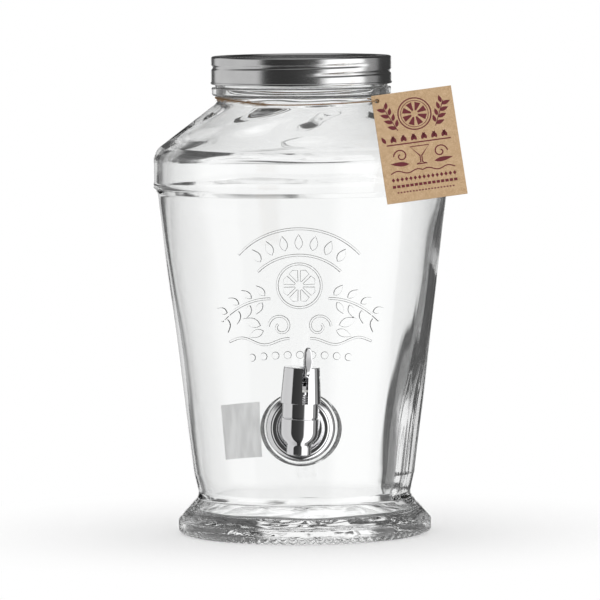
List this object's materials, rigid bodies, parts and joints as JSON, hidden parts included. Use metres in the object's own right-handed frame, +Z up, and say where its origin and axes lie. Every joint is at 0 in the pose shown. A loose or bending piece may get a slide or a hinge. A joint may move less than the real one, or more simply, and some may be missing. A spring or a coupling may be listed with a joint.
{
  "type": "drinks dispenser",
  "caption": "Screw-top glass drinks dispenser with a chromed lever tap low on its front, a pressed metal lid, a knurled foot and a card tag on a twine loop.",
  "frame": {"origin": "middle of the ring that the jar stands on", "axes": "+Z up along the jar's axis, -Y towards the tap, +X towards the side that the tag hangs on"},
  "size_m": [0.2183, 0.2387, 0.3316],
  "materials": {
    "clear_glass": "clear, glossy",
    "lid_steel": "satin, turned",
    "tap_chrome": "polished",
    "dark_rubber": "matt",
    "white_silicone": "matt, translucent",
    "white_plastic": "matt",
    "steel_pin": "ground",
    "grey_label": "matt",
    "kraft_card": "uncoated, printed",
    "leaf_paper": "uncoated",
    "jute": "two-ply twine"
  },
  "bodies": {
    "jar": {"glass_jar": "clear_glass", "back_label": "grey_label", "tap_body": "tap_chrome", "outer_washer": "dark_rubber", "inner_washer": "white_silicone", "tap_nut": "tap_chrome", "bonnet": "tap_chrome", "bonnet_gasket": "white_silicone", "lever_pin": "steel_pin", "stem_guide": "white_plastic", "stem_seal": "dark_rubber", "return_spring": "steel_pin", "twine": "jute", "twine_knot": "jute"},
    "lid_ring": {"lid_seal": "white_silicone"},
    "lid": {"lid_shell": "lid_steel"},
    "lever": {"lever": "tap_chrome"},
    "valve": {"valve_stem": "steel_pin", "seat_seal": "white_silicone"},
    "tag": {"tag_cover": "kraft_card", "tag_leaf": "leaf_paper"}
  },
  "joints": [
    {"name": "lid_lift", "type": "slide", "parent": "jar", "child": "lid_ring", "axis": [0, 0, 1], "range_m": [0, 0.02101]},
    {"name": "lid_turn", "type": "hinge", "parent": "lid_ring", "child": "lid", "pos_m": [0, 0, 0.33], "axis": [0, 0, 1], "range_deg": [0, 1260]},
    {"name": "lever_press", "type": "hinge", "parent": "jar", "child": "lever", "pos_m": [0.00301, -0.12042, 0.1175], "axis": [0.9672, 0.2504, -0.0422], "range_deg": [0, 30]},
    {"name": "stem_lift", "type": "slide", "parent": "jar", "child": "valve", "axis": [0.0436, 0, 0.999], "range_m": [0, 0.00287], "stiffness_N_per_m": 150, "springref_m": -0.004, "deforming": ["return_spring"]},
    {"name": "tag_swing", "type": "hinge", "parent": "jar", "child": "tag", "pos_m": [0.05349, -0.07404, 0.3024], "axis": [0.0263, -0.9417, 0.3355], "range_deg": [0, 60]}
  ],
  "couplings": [
    {"joint": "lid_lift", "follows": "lid_turn", "m_per_rad": 0.00095493},
    {"joint": "lever_press", "follows": "stem_lift", "rad_per_m": 181.82}
  ]
}
